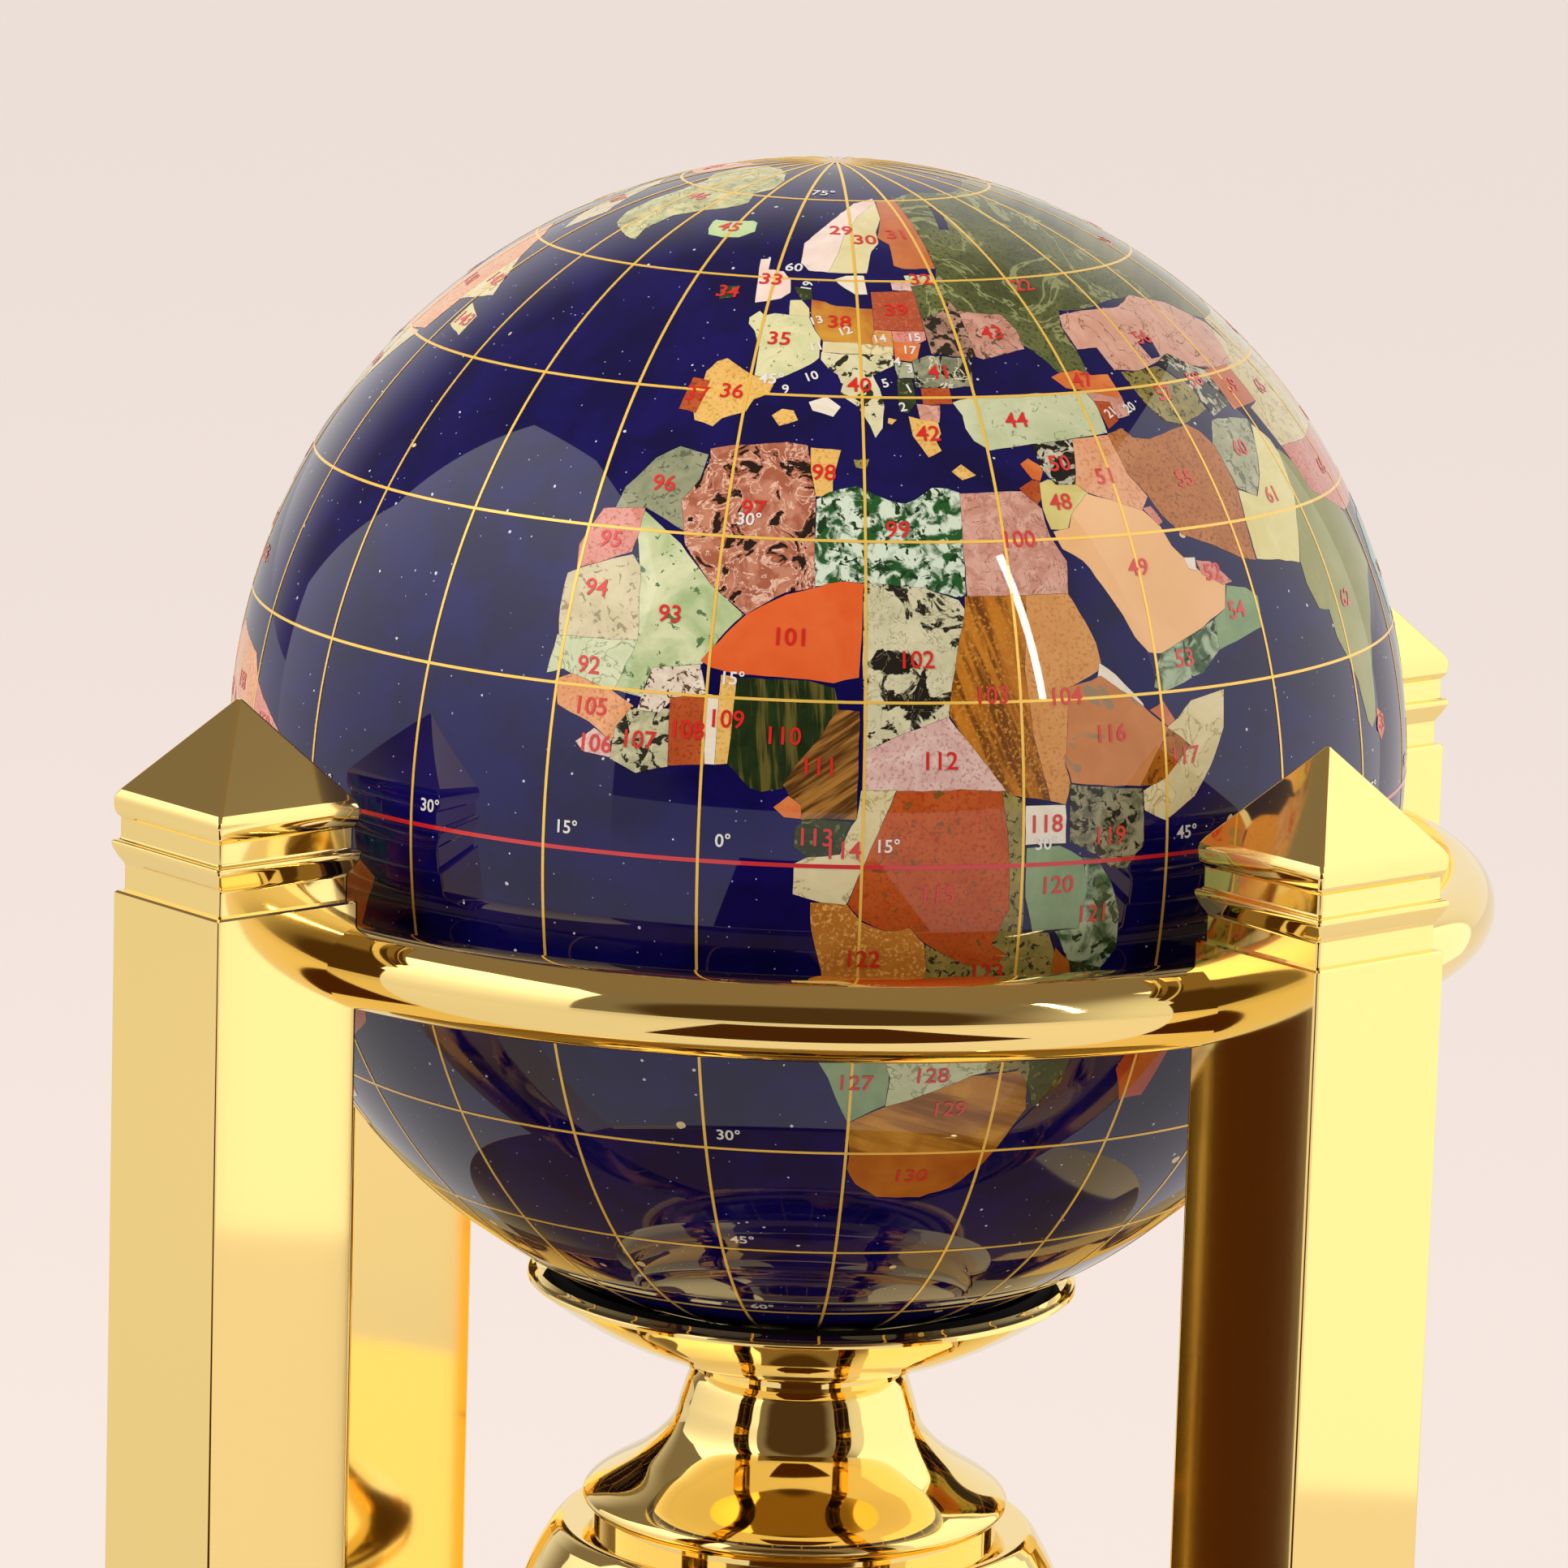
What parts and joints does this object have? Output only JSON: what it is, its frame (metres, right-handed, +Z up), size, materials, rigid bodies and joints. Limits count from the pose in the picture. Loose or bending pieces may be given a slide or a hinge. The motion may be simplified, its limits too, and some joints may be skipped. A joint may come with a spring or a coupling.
{
  "type": "desktop globe on stand",
  "caption": "Inlaid stone globe turning upright in a dish on a turned pedestal, held within a ring between square pillars with pyramid caps on a round base.",
  "frame": {"origin": "on the table under the globe's axis, at the bottom of the feet", "axes": "+Z up along the globe's axis, -Y to the front, pillars on the diagonals"},
  "size_m": [0.236, 0.236, 0.246],
  "materials": {
    "gold_plate": "polished electroplated gold",
    "steel": "zinc plated",
    "black_cover": "matte black",
    "black_felt": "felt",
    "black_rubber": "matte",
    "nylon": "natural nylon",
    "lapis": "polished under clear lacquer, fine light specks",
    "core_resin": "cast resin",
    "brass": "machined",
    "bronze": "sintered bronze",
    "gold_wire": "polished wire",
    "equator_red": "red enamel",
    "stone_rose": "polished jasper under clear lacquer",
    "stone_amber": "polished agate under clear lacquer",
    "stone_pale": "polished pale stone under clear lacquer",
    "stone_green": "polished green stone under clear lacquer",
    "stone_red": "polished red jasper under clear lacquer",
    "stone_dark": "polished dark speckled stone under clear lacquer"
  },
  "bodies": {
    "stand": {"base_plate": "gold_plate", "pedestal_dome": "gold_plate", "pedestal_neck": "gold_plate", "dish": "gold_plate", "ring": "gold_plate", "pillar_fl": "gold_plate", "pillar_fr": "gold_plate", "pillar_rr": "gold_plate", "pillar_rl": "gold_plate", "finial_fl": "gold_plate", "finial_fr": "gold_plate", "finial_rr": "gold_plate", "finial_rl": "gold_plate", "tie_rod": "steel", "rod_washer": "steel", "rod_nut": "steel", "pillar_bolts": "steel", "pillar_washers": "steel", "ring_screws": "steel", "cover_screws": "steel", "base_cover": "black_cover", "dish_felt": "black_felt", "thrust_washer": "nylon", "foot_fl": "black_rubber", "foot_fr": "black_rubber", "foot_rr": "black_rubber", "foot_rl": "black_rubber", "pillar_plug_fl": "steel", "pillar_plug_fr": "steel", "pillar_plug_rr": "steel", "pillar_plug_rl": "steel"},
    "globe": {"inlay_africa": "stone_rose", "inlay_madagascar": "stone_amber", "inlay_europe": "stone_amber", "inlay_scandinavia": "stone_pale", "inlay_british_isles": "stone_pale", "inlay_iceland": "stone_green", "inlay_greenland": "stone_pale", "inlay_asia": "stone_green", "inlay_arabia": "stone_amber", "inlay_japan": "stone_rose", "inlay_sunda_islands": "stone_amber", "inlay_australia": "stone_red", "inlay_new_zealand": "stone_green", "inlay_north_america": "stone_pale", "inlay_caribbean": "stone_red", "inlay_south_america": "stone_red", "inlay_antarctica": "stone_pale", "ocean_north": "lapis", "ocean_south": "lapis", "core_north": "core_resin", "core_south": "core_resin", "core_band": "core_resin", "globe_hub": "brass", "hub_bush": "bronze", "meridian_wires": "gold_wire", "parallel_wires": "gold_wire", "equator_line": "equator_red", "pole_stud": "gold_wire"}
  },
  "joints": [
    {"name": "globe_spin", "type": "hinge", "parent": "stand", "child": "globe", "pos_m": [0, 0, 0.104], "axis": [0, 0, 1], "continuous": true}
  ]
}
